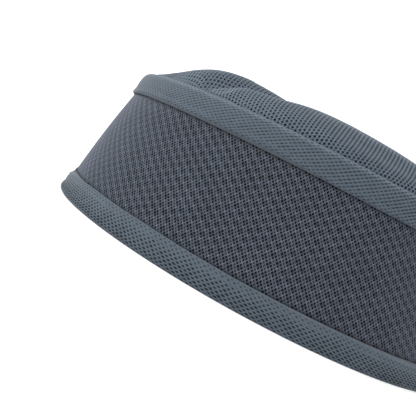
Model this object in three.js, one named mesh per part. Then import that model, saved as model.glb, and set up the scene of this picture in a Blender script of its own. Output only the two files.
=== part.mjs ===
// A kufi: a round, brimless pillbox cap with a mesh band, two bound edges and a soft domed crown.
// Millimetres, +Z up. The origin is the middle of the cap's underside, on the surface it rests on.
// The cap is oval in plan, longer along X, and its band leans in towards the crown.

import * as THREE from 'three';

// Outside of the cap, measured over the bindings.
const bottomHalfLength = 99.2;
const bottomHalfWidth = 90.2;
const topHalfLength = 87;
const topHalfWidth = 79;
const bandHeight = 62.5;

// Cloth. The band is a thick spacer mesh, the bindings are strips of doubled knit.
const bandWall = 2.2;
const bandSwell = 0.5;
const bindingWall = 1;
const crownWall = 1.2;

// Widths of the bindings on the outside, the bead along the bottom edge and the corners' softness.
const topBindingWidth = 10.4;
const bottomBindingWidth = 9.4;
const innerBindingWidth = 8.6;
const beadHeight = 2.4;
const beadSwell = 0.6;
const bindingRounding = 0.45;
const rimRounding = 1.1;
const rimEasing = 0.37;

// The crown, puffed up over the rim, with its margin turned down inside the band.
const crownPuff = 17.7;
const crownShoulder = 3.4;
const crownRoundness = 0.54;
const crownMargin = 9;

// Space between two layers of cloth that are sewn together.
const seamGap = 0.3;

// Steps of the mesh: round the cap, across the dome, and between the band's edges.
const segments = 72;
const domeRings = 14;
const domeCrowding = 1.8;
const slopeReach = 0.004;
const swellRows = 4;

// Folds and lumps of the crown: each is a line of stations, one row for a station. Places along X are
// shares of the crown's half length, along Y of its half width. Widths are shares of its half length,
// depths are shares of the puff, and a negative depth is a lump that stands up.
const crownFolds = [
  { fold: 'valley from the rim', x: -0.56, y: -0.72, width: 0.055, depth: 0.54 },
  { fold: 'valley from the rim', x: -0.32, y: -0.64, width: 0.125, depth: 0.6 },
  { fold: 'valley from the rim', x: -0.03, y: -0.32, width: 0.135, depth: 0.34 },
  { fold: 'valley from the rim', x: 0.45, y: -0.22, width: 0.16, depth: 0.06 },
  { fold: 'left lump', x: -0.59, y: -0.34, width: 0.41, depth: -0.08 },
  { fold: 'left lump', x: -0.44, y: -0.09, width: 0.41, depth: -0.08 },
  { fold: 'dip at the near rim', x: 0.12, y: -0.95, width: 0.07, depth: 0.17 },
  { fold: 'dip at the near rim', x: 0.42, y: -0.86, width: 0.07, depth: 0.17 },
  { fold: 'slack left shoulder', x: -0.91, y: -0.42, width: 0.14, depth: 0.68 },
  { fold: 'slack left shoulder', x: -0.94, y: 0.35, width: 0.14, depth: 0.68 },
];
// The rim holds the cloth: folds die out towards it as this power of the share.
const rimHold = 8;

// Depths below the cap's outer surface at which each layer of cloth starts and ends.
const bandFace = bindingWall + seamGap;
const bandBack = bandFace + bandWall;
const innerFace = bandBack + seamGap;
const innerBack = innerFace + bindingWall;
const crownBack = innerFace + crownWall;
const crownHalfLength = topHalfLength - innerFace;
const crownHalfWidth = topHalfWidth - innerFace;

const mesh = new THREE.MeshStandardMaterial({ name: 'band_mesh', color: '#454a57', roughness: 0.85 });
const strip = new THREE.MeshStandardMaterial({ name: 'binding_knit', color: '#56636f', roughness: 0.8 });
const net = new THREE.MeshStandardMaterial({ name: 'crown_net', color: '#5c6974', roughness: 0.8 });

function angleOf(step) {
  return (2 * Math.PI * step) / segments;
}

// A point on the leaning oval wall: so far in from the cap's outer surface, and so far up.
function wallPoint(angle, inward, up) {
  const share = up / bandHeight;
  const halfLength = THREE.MathUtils.lerp(bottomHalfLength, topHalfLength, share) - inward;
  const halfWidth = THREE.MathUtils.lerp(bottomHalfWidth, topHalfWidth, share) - inward;
  return new THREE.Vector3(halfLength * Math.cos(angle), halfWidth * Math.sin(angle), up);
}

// One row of points round the cap at the same inset and height.
function wallRow(inward, up) {
  return Array.from({ length: segments }, (_, step) => wallPoint(angleOf(step), inward, up));
}

// Joins rows of points into one closed skin. The rows go up on the outside of the cloth and down on
// its inside. A row of a single point is a pole, and a skin without poles joins its last row to its first.
function closedSkin(rows) {
  const vertices = [];
  const starts = [];
  for (const row of rows) {
    starts.push(vertices.length / 3);
    for (const point of row) {
      vertices.push(point.x, point.y, point.z);
    }
  }
  const hasPoles = rows[0].length === 1;
  const joins = hasPoles ? rows.length - 1 : rows.length;
  const faces = [];
  for (let join = 0; join < joins; join += 1) {
    const next = (join + 1) % rows.length;
    for (let step = 0; step < segments; step += 1) {
      const after = (step + 1) % segments;
      const low = starts[join] + (rows[join].length === 1 ? 0 : step);
      const lowAfter = starts[join] + (rows[join].length === 1 ? 0 : after);
      const high = starts[next] + (rows[next].length === 1 ? 0 : step);
      const highAfter = starts[next] + (rows[next].length === 1 ? 0 : after);
      if (low !== lowAfter) {
        faces.push(low, lowAfter, highAfter);
      }
      if (high !== highAfter) {
        faces.push(low, highAfter, high);
      }
    }
  }
  const geometry = new THREE.BufferGeometry();
  geometry.setAttribute('position', new THREE.Float32BufferAttribute(vertices, 3));
  geometry.setIndex(faces);
  geometry.computeVertexNormals();
  return geometry;
}

function piece(name, rows, material) {
  const solid = new THREE.Mesh(closedSkin(rows), material);
  solid.name = name;
  return solid;
}

// The band is one strip of spacer mesh, held flat under both bindings and swelling between them.
function makeBand() {
  const lowEdge = bindingWall + seamGap;
  const highEdge = bandHeight - bindingWall - seamGap;
  const swellFrom = bottomBindingWidth;
  const swellTo = bandHeight - topBindingWidth;
  const levels = [{ up: lowEdge, swell: 0 }];
  for (let row = 0; row <= swellRows; row += 1) {
    const share = row / swellRows;
    const up = THREE.MathUtils.lerp(swellFrom, swellTo, share);
    levels.push({ up, swell: bandSwell * Math.sin(Math.PI * share) });
  }
  levels.push({ up: highEdge, swell: 0 });
  const outside = levels.map(({ up, swell }) => wallRow(bandFace - swell, up));
  const inside = levels.map(({ up, swell }) => wallRow(bandBack - swell, up)).reverse();
  return piece('band', [...outside, ...inside], mesh);
}

// The bottom binding is folded round the band's lower edge and up its inside, with a bead underfoot.
function makeBottomBinding() {
  const rows = [
    wallRow(bindingRounding, 0),
    wallRow(0, bindingRounding),
    wallRow(-beadSwell, beadHeight / 2),
    wallRow(0, beadHeight),
    wallRow(0, bottomBindingWidth - bindingRounding),
    wallRow(bindingRounding, bottomBindingWidth),
    wallRow(bindingWall, bottomBindingWidth),
    wallRow(bindingWall, bindingWall),
    wallRow(innerFace, bindingWall),
    wallRow(innerFace, innerBindingWidth),
    wallRow(innerBack, innerBindingWidth),
    wallRow(innerBack, bindingRounding),
    wallRow(innerBack - bindingRounding, 0),
  ];
  return piece('bottom_binding', rows, strip);
}

// The top binding lies on the outside of the band and is folded in over its top, up to the crown.
function makeTopBinding() {
  const lowEdge = bandHeight - topBindingWidth;
  const rows = [
    wallRow(bindingRounding, lowEdge),
    wallRow(0, lowEdge + bindingRounding),
    wallRow(0, bandHeight - rimRounding),
    wallRow(rimEasing, bandHeight - rimEasing),
    wallRow(rimRounding, bandHeight),
    wallRow(bandBack - bindingRounding, bandHeight),
    wallRow(bandBack, bandHeight - bindingRounding),
    wallRow(bandBack, bandHeight - bindingWall),
    wallRow(bindingWall, bandHeight - bindingWall),
    wallRow(bindingWall, lowEdge),
  ];
  return piece('top_binding', rows, strip);
}

// A fold's stations in pairs, each pair the two ends of one straight stretch of it.
function foldStretches() {
  const stretches = [];
  for (let row = 1; row < crownFolds.length; row += 1) {
    if (crownFolds[row].fold === crownFolds[row - 1].fold) {
      stretches.push({ from: crownFolds[row - 1], to: crownFolds[row] });
    }
  }
  return stretches;
}

// How deep one stretch dents the crown at a point, and how far the point lies from it.
function stretchDent(x, y, { from, to }) {
  const start = new THREE.Vector3(from.x * crownHalfLength, from.y * crownHalfWidth, 0);
  const end = new THREE.Vector3(to.x * crownHalfLength, to.y * crownHalfWidth, 0);
  const line = new THREE.Line3(start, end);
  const point = new THREE.Vector3(x, y, 0);
  const along = line.closestPointToPointParameter(point, true);
  const distance = line.at(along, new THREE.Vector3()).distanceTo(point);
  const width = THREE.MathUtils.lerp(from.width, to.width, along) * crownHalfLength;
  const depth = THREE.MathUtils.lerp(from.depth, to.depth, along);
  return { distance, dent: depth * Math.exp(-((distance / width) ** 2)) };
}

// Each fold dents the crown by its nearest stretch, so its stretches meet without a step.
function foldedDepth(x, y) {
  const nearest = new Map();
  for (const stretch of foldStretches()) {
    const found = stretchDent(x, y, stretch);
    const best = nearest.get(stretch.from.fold);
    if (best === undefined || found.distance < best.distance) {
      nearest.set(stretch.from.fold, found);
    }
  }
  return [...nearest.values()].reduce((total, { dent }) => total + dent, 0);
}

// A point on the crown's outer surface. The share goes from 0 at the middle to 1 at the rim.
function domePoint(share, angle) {
  const x = share * crownHalfLength * Math.cos(angle);
  const y = share * crownHalfWidth * Math.sin(angle);
  const dome = (1 - share ** crownShoulder) ** crownRoundness;
  const dent = foldedDepth(x, y) * (1 - share ** rimHold);
  return new THREE.Vector3(x, y, bandHeight + crownPuff * (dome - dent));
}

// The same point on the inside of the crown's cloth, square to its outer surface.
function domeInsidePoint(share, angle) {
  const from = domePoint(Math.max(share - slopeReach, 0), angle);
  const to = domePoint(Math.min(share + slopeReach, 1), angle);
  const before = domePoint(share, angle - slopeReach);
  const after = domePoint(share, angle + slopeReach);
  const normal = to.sub(from).cross(after.sub(before)).normalize();
  return domePoint(share, angle).addScaledVector(normal, -crownWall);
}

// The crown is one round of net, domed over the rim, its margin sewn down inside the band.
function makeCrown() {
  const marginEdge = bandHeight - crownMargin;
  const inside = [];
  const outside = [];
  for (let ring = 1; ring < domeRings; ring += 1) {
    const share = 1 - (1 - ring / domeRings) ** domeCrowding;
    const round = Array.from({ length: segments }, (_, step) => angleOf(step));
    inside.push(round.map((angle) => domeInsidePoint(share, angle)));
    outside.push(round.map((angle) => domePoint(share, angle)));
  }
  const top = domePoint(0, 0);
  const rows = [
    [new THREE.Vector3(0, 0, top.z - crownWall)],
    ...inside,
    wallRow(crownBack, bandHeight),
    wallRow(crownBack, marginEdge),
    wallRow(innerFace, marginEdge),
    wallRow(innerFace, bandHeight),
    ...outside.reverse(),
    [top],
  ];
  return piece('crown', rows, net);
}

const group = new THREE.Group();
group.name = 'kufi';
group.add(makeBand(), makeBottomBinding(), makeTopBinding(), makeCrown());

export default group;
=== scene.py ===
import math

import bpy
import numpy as np
from mathutils import Matrix
from mathutils.geometry import delaunay_2d_cdt


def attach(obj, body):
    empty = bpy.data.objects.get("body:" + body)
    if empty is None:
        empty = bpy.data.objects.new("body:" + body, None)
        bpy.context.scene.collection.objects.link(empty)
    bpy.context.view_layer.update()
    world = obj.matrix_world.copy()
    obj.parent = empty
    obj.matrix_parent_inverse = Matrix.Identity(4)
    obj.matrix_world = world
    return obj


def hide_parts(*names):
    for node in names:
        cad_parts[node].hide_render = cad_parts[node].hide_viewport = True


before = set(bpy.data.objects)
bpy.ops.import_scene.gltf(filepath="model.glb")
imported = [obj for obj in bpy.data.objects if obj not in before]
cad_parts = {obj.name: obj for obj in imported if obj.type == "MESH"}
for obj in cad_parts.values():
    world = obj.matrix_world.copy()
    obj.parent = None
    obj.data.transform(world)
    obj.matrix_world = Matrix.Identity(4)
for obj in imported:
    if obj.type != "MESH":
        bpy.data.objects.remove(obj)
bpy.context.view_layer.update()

# Camera. Close in front of the cap, a little below its rim, turned on its side so that the cap leans
# in the picture and its right and lower parts run out of it.
view_data = bpy.data.cameras.new("photo_view")
view_data.sensor_width = 36
view_data.lens = 47.77
view_data.clip_start = 0.01
camera = bpy.data.objects.new("photo_view", view_data)
camera_right = (0.876975, 0.138979, 0.460000)
camera_up = (-0.465562, 0.008629, 0.884973)
camera_back = (0.119023, -0.990258, 0.072271)
camera_place = (0, -0.269895, 0.039250)
camera_rows = zip(camera_right, camera_up, camera_back, camera_place)
camera.matrix_world = Matrix([*camera_rows, (0, 0, 0, 1)])
bpy.context.collection.objects.link(camera)
bpy.context.scene.camera = camera

# Band. One strip of thick polyester spacer mesh round the head, on an oval wall that leans in towards
# the crown. It is knitted in clusters of six holes, each ringed by lighter loops, and held flat under
# a binding at each edge. The cap's lengths are in millimetres until a mesh is made of them.
mm = 0.001
bottom_half = np.array((99.2, 90.2))
top_half = np.array((87, 79))
band_height = 62.5
band_face = 1.3
band_wall = 2.2
band_back = band_face + band_wall
band_swell = 0.5
band_low = 9.4
band_high = 52.1
band_tuck = 1.3
band_edge = 1.3
band_columns = 412
band_rows = 52
oval_steps = 2048


def wall_angle(turn):
    """The oval's angle at a share of the way round, counted along its length."""
    angles = np.linspace(0, 2 * math.pi, oval_steps + 1)
    middle = (bottom_half + top_half) / 2
    oval = np.stack((middle[0] * np.cos(angles), middle[1] * np.sin(angles)), axis=1)
    lengths = np.concatenate(([0], np.cumsum(np.linalg.norm(np.diff(oval, axis=0), axis=1))))
    return np.interp(np.mod(turn, 1) * lengths[-1], lengths, angles)


def between(place, stations):
    """The value at a place, read off stations: place, value."""
    return np.interp(place, *zip(*stations))


def drift(turn, stations):
    """A value that changes round the ring, given at stations: degrees round the oval, value."""
    return between(np.degrees(wall_angle(turn)), stations)


def wall(turn, inward, up):
    """Points on the leaning oval wall: turn goes from 0 to 1 round it, inward is the depth below the
    cap's outer surface and up the height."""
    angle = wall_angle(turn)
    share = up / band_height
    half_length = bottom_half[0] + (top_half[0] - bottom_half[0]) * share - inward
    half_width = bottom_half[1] + (top_half[1] - bottom_half[1]) * share - inward
    x, y, z = np.broadcast_arrays(half_length * np.cos(angle), half_width * np.sin(angle), up)
    return np.stack((x, y, z), axis=-1)


def even_rows(profile, rows):
    """The same profile with its points at even steps of length."""
    profile = np.array(profile, float)
    lengths = np.concatenate(([0], np.cumsum(np.linalg.norm(np.diff(profile, axis=0), axis=1))))
    steps = np.linspace(0, lengths[-1], rows + 1)
    return [(np.interp(s, lengths, profile[:, 0]), np.interp(s, lengths, profile[:, 1])) for s in steps]


def cloth_mesh(name, points, faces, openings, tones, grain):
    """A mesh in metres that carries the size of the hole in each face, the lightness of each yarn and
    the way that the holes are narrow."""
    mesh = bpy.data.meshes.new(name)
    mesh.from_pydata((np.asarray(points) * mm).tolist(), [], faces)
    mesh.attributes.new("opening", "FLOAT", "FACE").data.foreach_set("value", openings)
    mesh.attributes.new("tone", "FLOAT", "POINT").data.foreach_set("value", tones)
    grain = grain / np.linalg.norm(grain, axis=1, keepdims=True)
    mesh.attributes.new("grain", "FLOAT_VECTOR", "POINT").data.foreach_set("vector", grain.ravel())
    mesh.update()
    piece = bpy.data.objects.new(name, mesh)
    bpy.context.collection.objects.link(piece)
    return piece


def ring_of_cloth(name, columns, zones, opening, tone, sway, lean=0, slant=0):
    """A closed ring of cloth. Each zone is (holed, profile), the profiles following each other round
    the section, up the outside and down the inside. A holed zone is cut into diamond cells, whose
    corners stand half a column apart in every other row; the rest is plain. The rows shift by the lean,
    in columns a millimetre up, and the holes are long at a slant to the ring, in degrees."""
    rows = []
    zone_ends = []
    for holed, profile in zones:
        start = len(rows) - 1 if rows else 0
        rows.extend(profile[1:] if rows else profile)
        zone_ends.append((holed, start, len(rows) - 1))
    offsets = np.full(len(rows), 0.5)
    for holed, start, end in zone_ends:
        if holed:
            offsets[start + 1:end:2] = 0
    column = np.arange(columns)
    points = []
    tones = []
    grain = []
    slant = math.radians(slant)
    nudge = 0.001
    for row, (inward, up) in enumerate(rows):
        turn = (column + offsets[row] + lean * up) / columns
        aside, rise = sway(turn, inward, up)
        points.append(wall(turn, inward + aside, up + rise))
        tones.append(tone(row, column, offsets[row]))
        onward = wall(turn + nudge, inward, up) - wall(turn - nudge, inward, up)
        onward /= np.linalg.norm(onward, axis=1, keepdims=True)
        grain.append(onward * -math.sin(slant) + np.array((0, 0, math.cos(slant))))
    faces = []
    openings = []
    before = (column - 1) % columns

    def add(corners, sizes=np.zeros(columns)):
        """Adds a round of faces with the sizes of their holes."""
        faces.extend(np.stack(corners, 1).tolist())
        openings.extend(sizes.tolist())

    for holed, start, end in zone_ends:
        if not holed:
            for row in range(start, end):
                low, high = row * columns, (row + 1) * columns
                add((low + before, low + column, high + column, high + before))
            continue
        for row in range(start, end + 1):
            left = row * columns + before
            right = row * columns + column
            upright = column if offsets[row] == 0.5 else before
            under = (row - 1) * columns + upright
            over = (row + 1) * columns + upright
            if row == start:
                add((left, right, over))
            elif row == end:
                add((left, under, right))
            else:
                add((left, under, right, over), opening(row - start, column))
    last = (len(rows) - 1) * columns
    add((last + before, last + column, column, before))
    points, tones, grain = map(np.concatenate, (points, tones, grain))
    return cloth_mesh(name, points, faces, openings, tones, grain)


def tree_tools(tree):
    """Two short tools for a node tree: one adds a node, the other joins two."""
    def node(kind, **settings):
        made = tree.nodes.new(kind)
        for setting, value in settings.items():
            setattr(made, setting, value)
        return made

    def join(source, output, target, socket):
        tree.links.new(source.outputs[output], target.inputs[socket])

    return node, join


def perforation_tree():
    """Geometry nodes that open each cell of a cloth: the cell is pressed in between its yarns, made
    smaller by its opening, and drawn down to a point in the depth of the cloth. A cell whose opening
    is below zero only dips. The tone is lowered at the rims of the holes and most in their depth and in
    the dips, as painted shade, and the holes' walls take the Hole material, a near-black painted shade."""
    least_opening = 0.01
    # Shares of the tone at the holes' rims and in their depth and dips: painted shade.
    rim_shade_share, depth_shade_share = 0.5, -0.8
    merge_distance = 1e-5
    tree = bpy.data.node_groups.new("perforation", "GeometryNodeTree")
    face = tree.interface
    face.new_socket("Cloth", in_out="INPUT", socket_type="NodeSocketGeometry")
    for label in ("Yarn drop", "Hole depth", "Unevenness", "Flattening"):
        face.new_socket(label, in_out="INPUT", socket_type="NodeSocketFloat")
    face.new_socket("Seed", in_out="INPUT", socket_type="NodeSocketInt")
    face.new_socket("Yarn", in_out="INPUT", socket_type="NodeSocketMaterial")
    face.new_socket("Hole", in_out="INPUT", socket_type="NodeSocketMaterial")
    face.new_socket("Cloth", in_out="OUTPUT", socket_type="NodeSocketGeometry")

    node, join = tree_tools(tree)
    given = node("NodeGroupInput")
    result = node("NodeGroupOutput")
    opening = node("GeometryNodeInputNamedAttribute", data_type="FLOAT")
    opening.inputs["Name"].default_value = "opening"
    is_open = node("FunctionNodeCompare", data_type="FLOAT", operation="GREATER_THAN")
    join(opening, "Attribute", is_open, 0)
    is_open.inputs[1].default_value = least_opening
    is_dimple = node("FunctionNodeCompare", data_type="FLOAT", operation="LESS_THAN")
    join(opening, "Attribute", is_dimple, 0)
    is_dimple.inputs[1].default_value = -least_opening
    tone = node("GeometryNodeInputNamedAttribute", data_type="FLOAT")
    tone.inputs["Name"].default_value = "tone"

    def paint_shade(geometry, output, selection, tops, share):
        """Paints shade: multiplies the tone at the corners of some faces by a share."""
        less = node("ShaderNodeMath", operation="MULTIPLY")
        join(tone, "Attribute", less, 0)
        less.inputs[1].default_value = share
        store = node("GeometryNodeStoreNamedAttribute", data_type="FLOAT", domain="POINT")
        store.inputs["Name"].default_value = "tone"
        join(geometry, output, store, "Geometry")
        join(selection, tops, store, "Selection")
        join(less, 0, store, "Value")
        return store

    press = node("GeometryNodeExtrudeMesh", mode="FACES")
    join(given, "Cloth", press, "Mesh")
    join(is_open, "Result", press, "Selection")
    join(given, "Yarn drop", press, "Offset Scale")

    chance = node("FunctionNodeRandomValue", data_type="FLOAT")
    least = node("ShaderNodeMath", operation="SUBTRACT")
    least.inputs[0].default_value = 1
    join(given, "Unevenness", least, 1)
    most = node("ShaderNodeMath", operation="ADD")
    most.inputs[0].default_value = 1
    join(given, "Unevenness", most, 1)
    join(least, 0, chance, 2)
    join(most, 0, chance, 3)
    join(given, "Seed", chance, "Seed")
    uneven = node("ShaderNodeMath", operation="MULTIPLY")
    join(opening, "Attribute", uneven, 0)
    join(chance, 1, uneven, 1)
    narrow = node("GeometryNodeScaleElements", domain="FACE")
    join(press, "Mesh", narrow, "Geometry")
    join(press, "Top", narrow, "Selection")
    join(uneven, 0, narrow, "Scale")
    flatten = node("GeometryNodeScaleElements", domain="FACE", scale_mode="SINGLE_AXIS")
    join(narrow, "Geometry", flatten, "Geometry")
    join(press, "Top", flatten, "Selection")
    join(given, "Flattening", flatten, "Scale")
    grain = node("GeometryNodeInputNamedAttribute", data_type="FLOAT_VECTOR")
    grain.inputs["Name"].default_value = "grain"
    join(grain, "Attribute", flatten, "Axis")
    shaded = paint_shade(flatten, "Geometry", press, "Top", rim_shade_share)

    size = node("ShaderNodeMath", operation="ABSOLUTE")
    join(opening, "Attribute", size, 0)
    depth = node("ShaderNodeMath", operation="MULTIPLY")
    join(given, "Hole depth", depth, 0)
    join(size, 0, depth, 1)
    sunk = node("FunctionNodeBooleanMath", operation="OR")
    join(press, "Top", sunk, 0)
    join(is_dimple, "Result", sunk, 1)
    sink = node("GeometryNodeExtrudeMesh", mode="FACES")
    join(shaded, "Geometry", sink, "Mesh")
    join(sunk, "Boolean", sink, "Selection")
    join(depth, 0, sink, "Offset Scale")
    point = node("GeometryNodeScaleElements", domain="FACE")
    join(sink, "Mesh", point, "Geometry")
    join(sink, "Top", point, "Selection")
    point.inputs["Scale"].default_value = 0
    deep = paint_shade(point, "Geometry", sink, "Top", depth_shade_share)
    merge = node("GeometryNodeMergeByDistance")
    join(deep, "Geometry", merge, "Geometry")
    merge.inputs["Distance"].default_value = merge_distance
    smooth = node("GeometryNodeSetShadeSmooth")
    join(merge, "Geometry", smooth, "Geometry")
    realize = node("GeometryNodeRealizeInstances")
    join(smooth, "Geometry", realize, "Geometry")
    yarn = node("GeometryNodeSetMaterial")
    join(realize, "Geometry", yarn, "Geometry")
    join(given, "Yarn", yarn, "Material")
    pits = node("FunctionNodeBooleanMath", operation="AND")
    join(sink, "Side", pits, 0)
    join(is_open, "Result", pits, 1)
    hole = node("GeometryNodeSetMaterial")
    join(yarn, "Geometry", hole, "Geometry")
    join(pits, "Boolean", hole, "Selection")
    join(given, "Hole", hole, "Material")
    join(hole, "Geometry", result, "Cloth")
    return tree


perforation = perforation_tree()


def settle(piece):
    """Makes the modifiers' result the piece's own mesh."""
    graph = bpy.context.evaluated_depsgraph_get()
    graph.update()
    mesh = bpy.data.meshes.new_from_object(piece.evaluated_get(graph))
    piece.modifiers.clear()
    piece.data = mesh
    mesh.name = piece.name


def run_tree(piece, tree, values):
    """Runs a geometry tree on a piece with the named inputs, and keeps the result as its mesh."""
    modifier = piece.modifiers.new(tree.name, "NODES")
    modifier.node_group = tree
    for item in tree.interface.items_tree:
        if item.in_out == "INPUT" and item.name in values:
            modifier[item.identifier] = values[item.name]
    settle(piece)


def cloth_material(name, deep, dark, light, roughness, sheen, fibre, fibre_size, patch_size, wales=0):
    """Yarn: its colour goes from light on the loops' backs to dark on their sides and deep between them,
    as its tone says, the dark and deep being painted shade, mottled in patches and along single fibres,
    which are also raised on it. Where a knit shows its wales, a painted highlight makes them lighter,
    halfway between the holes' columns."""
    tone_weight, patch_weight, fibre_weight = 0.6, 0.1, 0.3
    deep_stop, dark_stop, light_stop = 0.1, 0.32, 0.85
    fibre_height = 0.1
    material = bpy.data.materials.new(name)
    material.use_nodes = True
    nodes, links = material.node_tree.nodes, material.node_tree.links
    shader = nodes["Principled BSDF"]
    shader.inputs["Roughness"].default_value = roughness
    shader.inputs["Sheen Weight"].default_value = sheen
    shader.inputs["Sheen Roughness"].default_value = 0.5
    shader.inputs["Specular IOR Level"].default_value = 0.3
    place = nodes.new("ShaderNodeTexCoord")

    def noise(size, detail):
        made = nodes.new("ShaderNodeTexNoise")
        made.inputs["Scale"].default_value = 1 / (size * mm)
        made.inputs["Detail"].default_value = detail
        links.new(place.outputs["Object"], made.inputs["Vector"])
        return made.outputs["Fac"]

    def weighed(value, weight, onto=None):
        made = nodes.new("ShaderNodeMath")
        made.operation = "MULTIPLY_ADD"
        made.inputs[1].default_value = weight
        made.inputs[2].default_value = 0
        links.new(value, made.inputs[0])
        if onto is not None:
            links.new(onto, made.inputs[2])
        return made.outputs[0]

    tone = nodes.new("ShaderNodeAttribute")
    tone.attribute_name = "tone"
    fibres = noise(fibre_size, detail=3)
    mixed = weighed(tone.outputs["Fac"], tone_weight)
    mixed = weighed(noise(patch_size, detail=2), patch_weight, mixed)
    mixed = weighed(fibres, fibre_weight, mixed)
    # Painted highlight along the wales.
    if wales:
        count = nodes.new("ShaderNodeAttribute")
        count.attribute_name = "wale"
        ridge = nodes.new("ShaderNodeMath")
        ridge.operation = "PINGPONG"
        ridge.inputs[1].default_value = 0.5
        links.new(count.outputs["Fac"], ridge.inputs[0])
        mixed = weighed(ridge.outputs[0], wales, mixed)
    ramp = nodes.new("ShaderNodeValToRGB")
    stops = ramp.color_ramp.elements
    stops[0].position, stops[0].color = deep_stop, (*deep, 1)
    stops[1].position, stops[1].color = light_stop, (*light, 1)
    stops.new(dark_stop).color = (*dark, 1)
    links.new(mixed, ramp.inputs["Fac"])
    links.new(ramp.outputs["Color"], shader.inputs["Base Color"])
    bump = nodes.new("ShaderNodeBump")
    bump.inputs["Strength"].default_value = fibre
    bump.inputs["Distance"].default_value = fibre_height * mm
    links.new(fibres, bump.inputs["Height"])
    links.new(bump.outputs["Normal"], shader.inputs["Normal"])
    return material


# Sizes of the holes in a repeat of four columns and four rows, as shares of their cells: the middle
# hole of a cluster is the largest. Below zero the yarns only dip, between the clusters.
middle_hole, east_hole, north_west_hole, north_east_hole, south_east_hole = 0.76, 0.66, 0.66, 0.7, 0.64
corner_dip, gap_dip = -0.4, -0.25
repeat = np.array((
    (middle_hole, east_hole, gap_dip, gap_dip),
    (north_west_hole, north_east_hole, corner_dip, south_east_hole),
    (gap_dip, gap_dip, middle_hole, east_hole),
    (corner_dip, south_east_hole, north_west_hole, north_east_hole),
))


def band_opening(row, column):
    return repeat[row % 4][column % 4]


# The yarn's tone: on the plain inside; for each of the first rows in from a bound edge, as painted shade
# where the band runs in under the binding; within the clusters; and what is added where all cells
# round a corner lie between the clusters.
inside_tone = 0.4
edge_rows, edge_shade_tone = 3, 0.12
cluster_tone, loop_tone = 0.31, 1.05


def band_tone(row, column, offset):
    """Yarn is lighter between the clusters, by the share of closed cells round each corner."""
    if row > band_rows:
        return np.full(len(column), inside_tone)
    edge = min(row, band_rows - row)
    # Painted shade: the rows next to a bound edge grow darker towards it, under the binding's edge.
    if edge < edge_rows:
        return np.full(len(column), edge_shade_tone * edge)
    beside = column + 1
    upright = column if offset == 0 else beside
    around = (
        repeat[row % 4][column % 4], repeat[row % 4][beside % 4],
        repeat[(row + 1) % 4][upright % 4], repeat[(row - 1) % 4][upright % 4],
    )
    return cluster_tone + loop_tone * np.mean([cell == gap_dip for cell in around], axis=0)


def still(turn, inward, up):
    return 0, 0


def band_profile(up):
    share = np.clip((up - band_low) / (band_high - band_low), 0, 1)
    return band_face - band_swell * math.sin(math.pi * share)


face_from = band_low - band_tuck
face_to = band_high + band_tuck
outside = [(band_profile(up), up) for up in np.linspace(face_from, face_to, band_rows + 1)]
band_top = band_height - band_edge
over_top = [outside[-1], (band_face, band_top), (band_back, band_top)]
inside = [(band_profile(up) + band_wall, up) for up in np.linspace(band_high, band_low, 3)]
under = [inside[-1], (band_back, band_edge), (band_face, band_edge)]
band = ring_of_cloth(
    "spacer_mesh_band", band_columns,
    [(True, outside), (False, over_top + inside), (False, under)],
    band_opening, band_tone, still,
)
band_yarn = cloth_material(
    "slate_spacer_yarn",
    deep=(0.008, 0.010, 0.014), dark=(0.036, 0.044, 0.060), light=(0.180, 0.210, 0.268),
    roughness=0.8, sheen=0.12, fibre=0.5, fibre_size=0.25, patch_size=9,
)
# The holes' walls: a near-black painted shade for the depth of the spacer, which the shallow pits don't
# cast.
band_hole_shade = cloth_material(
    "slate_spacer_hole_shade",
    deep=(0.003, 0.004, 0.006), dark=(0.005, 0.006, 0.009), light=(0.016, 0.018, 0.025),
    roughness=0.95, sheen=0, fibre=0.3, fibre_size=0.3, patch_size=9,
)
run_tree(band, perforation, {
    "Yarn drop": -0.22 * mm, "Hole depth": -1.7 * mm, "Unevenness": 0.08, "Seed": 3,
    "Flattening": 1.0, "Yarn": band_yarn, "Hole": band_hole_shade,
})
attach(band, "root")
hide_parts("band")

# Bottom binding. A doubled strip of lighter knit, cut on the bias, folded round the band's lower edge
# and up its inside. Its fold makes a soft bead along the very edge, and it is sewn near its top.
binding_wall = 1
bottom_width = 9.4
inner_width = 8.6
inner_face = 3.8
inner_back = 4.8
fold_softness = 0.45
bottom_columns = 254
# Stations: of the knit's stretch by shares of the way round, and of its marks and tone by rows up.
bottom_stretch = ((0.5, 0.98), (0.62, 1.02), (0.78, 1.02), (0.9, 1.12), (1, 0.85))
bottom_marks = ((1, 0.8), (6, 0.74), (9, 0.52), (11, 0.36))
bottom_tones = ((0, 0.45), (4, 0.5), (9, 0.56), (11, 0.5))


def bottom_opening(row, column):
    """The marks are strong on the bead and faint near the sewn edge, and the knit is tighter on the
    left of the front."""
    return between(column / bottom_columns, bottom_stretch) * between(row, bottom_marks)


def bottom_tone(row, column, offset):
    return np.full(len(column), between(row, bottom_tones))


def waver(turn, size, seed):
    """A small smooth wandering round the ring, as of a strip guided by hand."""
    waves_round = (3, 5, 8, 13, 21, 34)
    starts = np.random.default_rng(seed)
    total = 0
    for count in waves_round:
        total = total + np.sin(2 * math.pi * (count * turn + starts.random())) / math.sqrt(count)
    return size * total


# How much the sewn edge rises and the bead swells round the cap: degrees round the oval, amount. Both
# follow the photo from the cap's left end (180) over the middle of its front (270) to the right.
bottom_edge_drift = (
    (158, 0), (180, -2.9), (197, -2.9), (214, -0.4), (226, 0.6), (246, 0.7), (262, 0.3), (276, -0.2),
    (290, -0.2), (302, -0.7), (312, -1.2), (335, -0.6), (360, 0),
)
left_end_swell = (
    (120, 0), (150, -0.25), (175, -0.6), (190, -0.6), (200, -0.2), (208, 0.3), (215, 0.5), (224, 0.4),
    (240, 0.1), (250, 0),
)
# How far that swell reaches up the outer leg: height, share.
swell_reach = ((0, 1.7), (0.5, 1.7), (1.3, 1.5), (2.3, 1.1), (4.2, 0))
bead_height = 2.4


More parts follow.
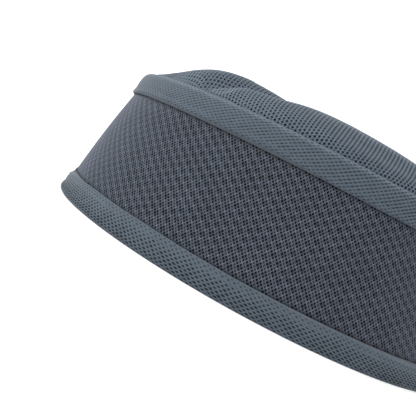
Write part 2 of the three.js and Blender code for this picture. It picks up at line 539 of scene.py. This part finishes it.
def bottom_sway(turn, inward, up):
    """Only the outer leg wanders, most at its sewn edge. The bead is flatter at the cap's left end and
    fuller just in front of it."""
    if inward >= binding_wall:
        return 0, 0
    sewn = np.clip((up - bead_height) / (bottom_width - bead_height), 0, 1)
    rise = drift(turn, bottom_edge_drift) + waver(turn, size=0.06, seed=6)
    swell = drift(turn, left_end_swell) * between(up, swell_reach)
    return waver(turn, size=0.05, seed=5) - swell, sewn * rise


bead_swell = 0.7
outer_leg = [
    (fold_softness, 0), (-0.15, fold_softness), (-bead_swell, 1.3), (-0.4, 2.3), (0.02, 2.9),
    (-0.12, 4.2), (-0.22, 5.6), (-0.16, 6.6), (0.06, 7.3), (-0.2, 7.9), (-0.28, 8.5), (-0.1, 9.1),
    (fold_softness, bottom_width),
]
inner_leg = [(inner_back, inner_width - 0.2), (inner_back, fold_softness)]
bottom_binding = ring_of_cloth(
    "bottom_binding_strip", bottom_columns,
    [
        (True, even_rows(outer_leg, 12)),
        (False, [
            outer_leg[-1], (binding_wall, bottom_width), (binding_wall, binding_wall),
            (inner_face, binding_wall), (inner_face, inner_width), inner_leg[0],
        ]),
        (True, even_rows(inner_leg, 10)),
        (False, [inner_leg[-1], (inner_back - fold_softness, 0)]),
    ],
    bottom_opening, bottom_tone, bottom_sway, lean=-0.07,
)
binding_yarn = cloth_material(
    "grey_blue_binding_yarn",
    deep=(0.024, 0.032, 0.042), dark=(0.051, 0.068, 0.087), light=(0.128, 0.167, 0.208),
    roughness=0.75, sheen=0.15, fibre=0.5, fibre_size=0.25, patch_size=7,
)
# The marks' walls: a near-black painted shade for their depth, which the shallow pits don't cast.
binding_hole_shade = cloth_material(
    "grey_blue_binding_hole_shade",
    deep=(0.008, 0.011, 0.016), dark=(0.014, 0.018, 0.025), light=(0.032, 0.041, 0.053),
    roughness=0.95, sheen=0, fibre=0.3, fibre_size=0.3, patch_size=7,
)
run_tree(bottom_binding, perforation, {
    "Yarn drop": -0.12 * mm, "Hole depth": -0.9 * mm, "Unevenness": 0.15, "Seed": 4,
    "Flattening": 0.5, "Yarn": binding_yarn, "Hole": binding_hole_shade,
})
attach(bottom_binding, "root")
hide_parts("bottom_binding")

# Stitches of the bottom binding. A row of lockstitches in thread of the strip's own colour, sewn through
# both legs of the strip and the band between them, a little below its edge, and half sunk in the knit.
stitch_pitch = 2.5
stitch_length = 1.9
thread_size = 0.42
stitch_tone = 0.3
seam_depth = -0.02
seam_points = 720
bottom_seam_height = 7.3


def stitching_tree():
    """Geometry nodes that lay a row of short stitches along a line, each a stretched ball."""
    segments, rings = 6, 5
    tree = bpy.data.node_groups.new("stitching", "GeometryNodeTree")
    face = tree.interface
    face.new_socket("Seam", in_out="INPUT", socket_type="NodeSocketGeometry")
    for label in ("Pitch", "Stitch length", "Thread"):
        face.new_socket(label, in_out="INPUT", socket_type="NodeSocketFloat")
    face.new_socket("Material", in_out="INPUT", socket_type="NodeSocketMaterial")
    face.new_socket("Stitches", in_out="OUTPUT", socket_type="NodeSocketGeometry")
    node, join = tree_tools(tree)
    given = node("NodeGroupInput")
    line = node("GeometryNodeMeshToCurve")
    join(given, "Seam", line, "Mesh")
    places = node("GeometryNodeResampleCurve", mode="LENGTH")
    join(line, "Curve", places, "Curve")
    join(given, "Pitch", places, "Length")
    stitch = node("GeometryNodeMeshUVSphere")
    stitch.inputs["Segments"].default_value = segments
    stitch.inputs["Rings"].default_value = rings
    stitch.inputs["Radius"].default_value = 0.5
    size = node("ShaderNodeCombineXYZ")
    join(given, "Thread", size, "X")
    join(given, "Thread", size, "Y")
    join(given, "Stitch length", size, "Z")
    tangent = node("GeometryNodeInputTangent")
    turned = node("FunctionNodeAlignRotationToVector", axis="Z")
    join(tangent, "Tangent", turned, "Vector")
    lay = node("GeometryNodeInstanceOnPoints")
    join(places, "Curve", lay, "Points")
    join(stitch, "Mesh", lay, "Instance")
    join(turned, "Rotation", lay, "Rotation")
    join(size, "Vector", lay, "Scale")
    realize = node("GeometryNodeRealizeInstances")
    join(lay, "Instances", realize, "Geometry")
    smooth = node("GeometryNodeSetShadeSmooth")
    join(realize, "Geometry", smooth, "Geometry")
    coat = node("GeometryNodeSetMaterial")
    join(smooth, "Geometry", coat, "Geometry")
    join(given, "Material", coat, "Material")
    result = node("NodeGroupOutput")
    join(coat, "Geometry", result, "Stitches")
    return tree


stitching = stitching_tree()
seam_thread = cloth_material(
    "grey_blue_thread",
    deep=(0.030, 0.040, 0.052), dark=(0.060, 0.078, 0.100), light=(0.150, 0.190, 0.232),
    roughness=0.6, sheen=0.1, fibre=0.4, fibre_size=0.12, patch_size=5,
)


def seam(name, up, sway):
    """A row of stitches round the cap at one height, which follows the sway of its cloth."""
    turn = np.arange(seam_points) / seam_points
    aside, rise = sway(turn, seam_depth, up)
    line = bpy.data.meshes.new(name)
    places = wall(turn, seam_depth + aside, up + rise) * mm
    line.from_pydata(places.tolist(), [(k, (k + 1) % seam_points) for k in range(seam_points)], [])
    piece = bpy.data.objects.new(name, line)
    bpy.context.collection.objects.link(piece)
    run_tree(piece, stitching, {
        "Pitch": stitch_pitch * mm, "Stitch length": stitch_length * mm,
        "Thread": thread_size * mm, "Material": seam_thread,
    })
    tone = piece.data.attributes.new("tone", "FLOAT", "POINT")
    tone.data.foreach_set("value", np.full(len(piece.data.vertices), stitch_tone))
    return piece


bottom_seam = seam("bottom_binding_stitches", bottom_seam_height, bottom_sway)
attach(bottom_seam, "root")

# Top binding. The same doubled knit, laid on the band's upper edge and folded in over its top, where
# the crown is sewn in under it.
top_low = 52.1
rim_softness = 1.1
top_columns = 226
# Stations: of the knit's stretch by shares of the way round, and of its marks and tone by rows up and
# in over the rim. The tone is painted shade at the lower edge and where the strip turns in over the
# top, and a painted highlight along the rounded upper edge.
top_stretch = ((0.5, 0.95), (0.6, 1.0), (0.7, 1.02), (0.85, 1.15), (1, 0.85))
top_marks = ((1, 0.58), (4, 0.66), (12, 0.66), (17, 0.45))
top_light_and_shade = (
    (0, 0.2), (1, 0.35), (2, 0.5), (10, 0.5), (12, 0.6), (13, 1.2), (14, 1.1), (16, 0.5), (18, 0.3),
)


def top_opening(row, column):
    """The marks are smaller on the left of the front, where the knit is tighter."""
    return between(column / top_columns, top_stretch) * between(row, top_marks)


def top_tone(row, column, offset):
    """Dark where it is sewn down, as painted shade at its lower edge, and lightest along its upper
    edge, as a painted highlight.
    """
    return np.full(len(column), between(row, top_light_and_shade))


# How much the sewn edge rises: degrees round the oval, rise.
top_edge_drift = (
    (180, 0), (210, -0.1), (218, 0.4), (250, 0.6), (258, 0.8), (270, 0.5), (276, -0.1), (290, -0.2),
    (298, 0.1), (330, -0.1), (360, 0),
)


def top_sway(turn, inward, up):
    """Only the outer leg wanders, most at its sewn edge."""
    if inward >= binding_wall:
        return 0, 0
    sewn = np.clip((band_height - up) / (band_height - top_low), 0, 1)
    rise = drift(turn, top_edge_drift) + waver(turn, size=0.06, seed=8)
    return waver(turn, size=0.05, seed=7), sewn * rise


outer_leg = [
    (fold_softness, top_low), (-0.15, 52.5), (-0.3, 53.1), (-0.2, 53.8), (0.08, 54.3), (-0.15, 55.1),
    (-0.35, 57), (-0.4, 58.8), (-0.3, 60.4), (0.05, 61.6), (0.55, 62.2), (rim_softness, band_height),
    (band_back - fold_softness, band_height), (band_back, band_height - fold_softness),
]
top_binding = ring_of_cloth(
    "top_binding_strip", top_columns,
    [
        (True, even_rows(outer_leg, 18)),
        (False, [
            outer_leg[-1], (band_back, band_height - binding_wall),
            (binding_wall, band_height - binding_wall), (binding_wall, top_low),
        ]),
    ],
    top_opening, top_tone, top_sway, lean=0.07, slant=27,
)
# The dents' walls: a dark painted shade for their depth, which the shallow pits don't cast.
top_binding_dent_shade = cloth_material(
    "grey_blue_binding_dent_shade",
    deep=(0.015, 0.020, 0.027), dark=(0.024, 0.031, 0.041), light=(0.050, 0.064, 0.081),
    roughness=0.9, sheen=0, fibre=0.3, fibre_size=0.3, patch_size=7,
)
run_tree(top_binding, perforation, {
    "Yarn drop": -0.12 * mm, "Hole depth": -0.6 * mm, "Unevenness": 0.15, "Seed": 5,
    "Flattening": 0.5, "Yarn": binding_yarn, "Hole": top_binding_dent_shade,
})
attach(top_binding, "root")
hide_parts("top_binding")

# Stitches of the top binding. The same lockstitches in the same thread, just above the strip's lower
# edge, where they hold it to the band.
top_seam_height = 54.3
top_seam = seam("top_binding_stitches", top_seam_height, top_sway)
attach(top_seam, "root")

# Crown. One round of soft lighter net, cut flat and straight across the weave, puffed up over the rim
# in folds. Its margin is turned down inside the band and sewn in under the top binding.
crown_half = top_half - inner_face
crown_puff = 17.7
crown_shoulder = 3.4
crown_roundness = 0.54
crown_wall = 1.2
crown_back = 5.0
crown_margin = 9
# Each fold is how near it keeps to the rim, and a line of stations: x and y as shares of the half axes,
# width as a share of the half length, depth as a share of the puff; a negative depth stands up.
crown_folds = (
    (8, (-0.56, -0.72, 0.055, 0.54), (-0.32, -0.64, 0.125, 0.6), (-0.03, -0.32, 0.135, 0.34),
     (0.45, -0.22, 0.16, 0.06)),
    (8, (-0.59, -0.34, 0.41, -0.08), (-0.44, -0.09, 0.41, -0.08)),
    (8, (0.12, -0.95, 0.07, 0.17), (0.42, -0.86, 0.07, 0.17)),
    (8, (-0.91, -0.42, 0.14, 0.68), (-0.94, 0.35, 0.14, 0.68)),
    (8, (-0.89, -0.5, 0.13, 0.22), (-0.84, -0.52, 0.13, 0.22)),
    (30, (-0.78, -0.63, 0.035, 0.3), (-0.64, -0.76, 0.05, 0.5), (-0.5, -0.84, 0.05, 0.3)),
)


def fold_depth(share, x, y):
    """How deep all folds dent the crown, each by its nearest stretch."""
    total = np.zeros(np.shape(x))
    for rim_hold, *fold in crown_folds:
        nearest = np.full(np.shape(x), np.inf)
        dent = np.zeros(np.shape(x))
        for (x0, y0, width0, depth0), (x1, y1, width1, depth1) in zip(fold, fold[1:]):
            start = np.array((x0, y0)) * crown_half
            stretch = np.array((x1, y1)) * crown_half - start
            along = ((x - start[0]) * stretch[0] + (y - start[1]) * stretch[1]) / stretch.dot(stretch)
            along = np.clip(along, 0, 1)
            distance = np.hypot(x - start[0] - along * stretch[0], y - start[1] - along * stretch[1])
            width = (width0 + (width1 - width0) * along) * crown_half[0]
            here = (depth0 + (depth1 - depth0) * along) * np.exp(-((distance / width) ** 2))
            dent = np.where(distance < nearest, here, dent)
            nearest = np.minimum(distance, nearest)
        total += dent * (1 - share ** rim_hold)
    return total


def dome(share, angle):
    """Points of the crown's outer surface: share from 0 at the middle to 1 at the rim."""
    x = share * crown_half[0] * np.cos(angle)
    y = share * crown_half[1] * np.sin(angle)
    rise = (1 - share ** crown_shoulder) ** crown_roundness
    return np.stack((x, y, band_height + crown_puff * (rise - fold_depth(share, x, y))), axis=-1)


def dome_inside(share, angle):
    """The same points on the inside of the cloth."""
    reach = 0.004
    out = dome(np.minimum(share + reach, 1), angle) - dome(np.maximum(share - reach, 0), angle)
    around = dome(share, angle + reach) - dome(share, angle - reach)
    normal = np.cross(out, around)
    normal /= np.linalg.norm(normal, axis=-1, keepdims=True)
    return dome(share, angle) - crown_wall * normal


# Length of cloth from the middle to each share of the way out, for the least and greatest radius. The
# shares lie close together near the rim, where the cloth is steep.
meridian_points = 1200
meridian_crowding = 4
meridian_shares = 1 - (1 - np.linspace(0, 1, meridian_points)) ** meridian_crowding
meridian_rise = crown_puff * (1 - meridian_shares ** crown_shoulder) ** crown_roundness


def meridian_lengths(radius):
    steps = np.hypot(np.diff(meridian_shares) * radius, np.diff(meridian_rise))
    return np.concatenate(([0], np.cumsum(steps)))


short_meridian = meridian_lengths(crown_half.min())
long_meridian = meridian_lengths(crown_half.max())


def crown_reach(u, v):
    """For places on the flat round: their angle on the oval, their distance from its middle, the
    length of cloth there from the middle to the rim, and how far towards the long meridian it is."""
    angle = np.arctan2(v / crown_half[1], u / crown_half[0])
    radius = np.hypot(crown_half[0] * np.cos(angle), crown_half[1] * np.sin(angle))
    longer = (radius - crown_half.min()) / (crown_half.max() - crown_half.min())
    rim = short_meridian[-1] + (long_meridian[-1] - short_meridian[-1]) * longer
    return angle, np.hypot(u, v), rim, longer


def drape(u, v):
    """Places of the flat round as they lie on the dome, and past the rim down inside the band."""
    angle, distance, rim, longer = crown_reach(u, v)
    part = np.minimum(distance / rim, 1)
    share_short = np.interp(part, short_meridian / short_meridian[-1], meridian_shares)
    share_long = np.interp(part, long_meridian / long_meridian[-1], meridian_shares)
    share = share_short + (share_long - share_short) * longer
    points = dome(share, angle)
    up = band_height - np.maximum(distance - rim, 0)
    lean = (bottom_half - top_half) * ((band_height - up) / band_height)[:, None]
    points[:, 0] += lean[:, 0] * np.cos(angle)
    points[:, 1] += lean[:, 1] * np.sin(angle)
    points[:, 2] += up - band_height
    return points


# The flat net: a cell at every other crossing of the columns i and the rows r, its corners at the
# crossings between. The holes are larger on the right: distance from the middle, opening.
crown_cell_length = 2.95
crown_row = 0.8
crown_lean = 0.065
crown_eyes = ((-50, 0.68), (10, 0.8))
holed_past_rim = 1.2
cells_past_rim = 2.2
ring_past_rim = 3.4
rim_columns = 240
columns_each_way, rows_each_way = 85, 130
i, r = np.meshgrid(
    np.arange(-columns_each_way, columns_each_way + 1), np.arange(-rows_each_way, rows_each_way + 1),
    indexing="ij",
)
u = i * crown_cell_length / 2 + r * crown_lean
v = r * crown_row
_, distance, rim, _ = crown_reach(u, v)
inside_round = distance < rim + cells_past_rim
is_corner = (i + r) % 2 == 1
cell = ~is_corner[1:-1, 1:-1] & inside_round[:-2, 1:-1] & inside_round[2:, 1:-1]
cell &= inside_round[1:-1, :-2] & inside_round[1:-1, 2:]
cell_i, cell_r = np.nonzero(cell)
cell_i, cell_r = cell_i + 1, cell_r + 1
number = np.arange(i.size).reshape(i.shape)
quads = np.stack((
    number[cell_i - 1, cell_r], number[cell_i, cell_r - 1],
    number[cell_i + 1, cell_r], number[cell_i, cell_r + 1],
), axis=1)
used, quads = np.unique(quads, return_inverse=True)
quads = quads.reshape(-1, 4)
flat_u, flat_v = u.ravel()[used], v.ravel()[used]
cell_distance, cell_rim = distance[cell_i, cell_r], rim[cell_i, cell_r]
cell_opening = between(u[cell_i, cell_r], crown_eyes)
crown_openings = np.where(cell_distance < cell_rim + holed_past_rim, cell_opening, 0).tolist()
# The cells' ragged border is joined to an even ring under the top binding.
edges = np.concatenate([np.stack((quads[:, k], quads[:, (k + 1) % 4]), 1) for k in range(4)])
edges = np.sort(edges, axis=1)
edges, times = np.unique(edges, axis=0, return_counts=True)
border_edges = edges[times == 1]
border, border_edges = np.unique(border_edges, return_inverse=True)
border_edges = border_edges.reshape(-1, 2)
rim_turns = (np.arange(rim_columns) + 0.5) / rim_columns
rim_points = wall(rim_turns, inner_face, band_height)
rim_angles = np.arctan2(rim_points[:, 1] / crown_half[1], rim_points[:, 0] / crown_half[0])
rim_way = rim_points[:, :2] / np.linalg.norm(rim_points[:, :2], axis=1)[:, None]
_, _, rim_length, _ = crown_reach(rim_points[:, 0], rim_points[:, 1])
ring_flat = rim_way * (rim_length + ring_past_rim)[:, None]
flat_places = np.concatenate((np.stack((flat_u[border], flat_v[border]), axis=1), ring_flat))
ring_from = len(border)
ring_edges = [(ring_from + k, ring_from + (k + 1) % rim_columns) for k in range(rim_columns)]
valid_faces, same_place = 4, 1e-6
_, _, triangles, sources, _, _ = delaunay_2d_cdt(
    list(map(tuple, flat_places)), border_edges.tolist() + ring_edges, [], valid_faces, same_place,
)
side_from, side_to = flat_places[border_edges[:, 0]], flat_places[border_edges[:, 1]]
side_run = (side_to[:, 0] - side_from[:, 0]) / (side_to[:, 1] - side_from[:, 1])


def within_border(x, y):
    """Whether a line from a flat place crosses the cells' border an odd number of times."""
    crossed = (side_from[:, 1] > y) != (side_to[:, 1] > y)
    crossed &= x < side_from[:, 0] + (y - side_from[:, 1]) * side_run
    return crossed.sum() % 2 == 1


# Triangles within the border would lie under the cells, so they are left out.
ring_start = len(used)
own_number = [*border.tolist(), *range(ring_start, ring_start + rim_columns)]
join_faces = []
for triangle in triangles:
    places = [sources[corner][0] for corner in triangle]
    if not within_border(*flat_places[places].mean(axis=0)):
        join_faces.append([own_number[place] for place in places])
# The plain inside, from its middle out to the rim and down the margin, and up to the ring.
inner_rings = 24
ring_crowding = 1.8
inside_shares = 1 - (1 - np.arange(1, inner_rings) / inner_rings) ** ring_crowding
inside_rows = [dome_inside(np.full(rim_columns, share), rim_angles) for share in inside_shares]
margin_low = band_height - crown_margin
inside_rows += [wall(rim_turns, depth, up) for depth, up in (
    (crown_back, band_height), (crown_back, margin_low), (inner_face, margin_low),
)]
cloth_points = drape(flat_u, flat_v)
ring_points = drape(ring_flat[:, 0], ring_flat[:, 1])
inside_start = ring_start + rim_columns
inside_points = np.concatenate(inside_rows)
pole = dome(np.zeros(1), np.zeros(1)) - (0, 0, crown_wall)
pole_number = inside_start + len(inside_points)
crown_faces = quads.tolist() + join_faces
column = np.arange(rim_columns)
after = (column + 1) % rim_columns
crown_faces += [[pole_number, inside_start + int(b), inside_start + int(a)] for a, b in zip(column, after)]
starts = [inside_start + k * rim_columns for k in range(len(inside_rows))] + [ring_start]
for low, high in zip(starts, starts[1:]):
    crown_faces += np.stack((low + column, low + after, high + after, high + column), 1).tolist()
crown_points = np.concatenate((cloth_points, ring_points, inside_points, pole))
crown_openings += [0.0] * (len(crown_faces) - len(crown_openings))
# The holes are narrow across the net's columns. Its wales are counted by the columns, and the plain
# cloth has the tone halfway between a wale and the holes; the wales' lightness is a painted highlight.
half_step = 0.5
net_tone = 0.2
plain_wale = 0.25
crown_grain = np.tile((1.0, 0, 0), (len(crown_points), 1))
crown_grain[:len(used)] = drape(flat_u + half_step, flat_v) - drape(flat_u - half_step, flat_v)
crown_tones = np.full(len(crown_points), net_tone)
crown_wales = np.full(len(crown_points), plain_wale)
crown_wales[:len(used)] = i.ravel()[used]
crown = cloth_mesh("crown_round", crown_points, crown_faces, crown_openings, crown_tones, crown_grain)
crown.data.attributes.new("wale", "FLOAT", "POINT").data.foreach_set("value", crown_wales)
crown_yarn = cloth_material(
    "grey_blue_net_yarn",
    deep=(0.020, 0.027, 0.036), dark=(0.056, 0.077, 0.102), light=(0.206, 0.264, 0.335),
    roughness=0.75, sheen=0.15, fibre=0.5, fibre_size=0.25, patch_size=8, wales=0.6,
)
# The holes' walls: a near-black painted shade for the dark inside of the cap seen through the net.
crown_hole_shade = cloth_material(
    "grey_blue_net_hole_shade",
    deep=(0.004, 0.005, 0.008), dark=(0.008, 0.010, 0.014), light=(0.018, 0.023, 0.031),
    roughness=0.95, sheen=0, fibre=0.3, fibre_size=0.3, patch_size=8,
)
run_tree(crown, perforation, {
    "Yarn drop": -0.12 * mm, "Hole depth": -0.8 * mm, "Unevenness": 0.1, "Seed": 6,
    "Flattening": 0.5, "Yarn": crown_yarn, "Hole": crown_hole_shade,
})
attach(crown, "root")
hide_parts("crown")

# Floor. A pale seamless sweep, in metres: flat under the cap and curving up all round, so that no edge
# shows.
middle_radius = 0.3
floor_radius = 0.7
sweep_radius = 0.6
sweep_height = 1.4
floor_turns = 96
sweep_steps = 12
floor_profile = [(0, 0), (middle_radius, 0), (floor_radius, 0)]
for step in range(1, sweep_steps + 1):
    bend = math.pi / 2 * step / sweep_steps
    out, up = sweep_radius * math.sin(bend), sweep_radius * (1 - math.cos(bend))
    floor_profile.append((floor_radius + out, up))
floor_profile.append((floor_radius + sweep_radius, sweep_height))
floor_points = [(0, 0, 0)]
floor_faces = []
for radius, up in floor_profile[1:]:
    for k in range(floor_turns):
        angle = 2 * math.pi * k / floor_turns
        floor_points.append((radius * math.cos(angle), radius * math.sin(angle), up))
for k in range(floor_turns):
    floor_faces.append((0, 1 + k, 1 + (k + 1) % floor_turns))
for ring in range(len(floor_profile) - 2):
    low, high = 1 + ring * floor_turns, 1 + (ring + 1) * floor_turns
    for k in range(floor_turns):
        after_k = (k + 1) % floor_turns
        floor_faces.append((low + k, high + k, high + after_k, low + after_k))
floor_mesh = bpy.data.meshes.new("pale_sweep")
floor_mesh.from_pydata(floor_points, [], floor_faces)
floor_mesh.shade_smooth()
floor = bpy.data.objects.new("pale_sweep", floor_mesh)
bpy.context.collection.objects.link(floor)
floor_paint = bpy.data.materials.new("pale_sweep")
floor_paint.use_nodes = True
paint = floor_paint.node_tree.nodes["Principled BSDF"]
paint.inputs["Base Color"].default_value = (0.93, 0.93, 0.93, 1)
paint.inputs["Roughness"].default_value = 1
paint.inputs["Specular IOR Level"].default_value = 0
paint.inputs["Emission Color"].default_value = (1, 1, 1, 1)
paint.inputs["Emission Strength"].default_value = 0.35
floor_mesh.materials.append(floor_paint)

# Light. Soft studio light: a bright sky all round and one broad lamp, high on the left of the picture.
world = bpy.data.worlds.new("studio")
world.use_nodes = True
world.node_tree.nodes["Background"].inputs["Color"].default_value = (1, 1, 1, 1)
world.node_tree.nodes["Background"].inputs["Strength"].default_value = 0.45
bpy.context.scene.world = world
bpy.context.scene.view_settings.view_transform = "Standard"
lamp_data = bpy.data.lights.new("broad_lamp", "AREA")
lamp_data.energy = 5
lamp_data.size = 0.6
lamp = bpy.data.objects.new("broad_lamp", lamp_data)
lamp_place = Matrix.Translation((-0.75, -0.35, 0.65))
lamp_aim = lamp_place.to_translation().to_track_quat("Z", "Y")
lamp.matrix_world = lamp_place @ lamp_aim.to_matrix().to_4x4()
bpy.context.collection.objects.link(lamp)
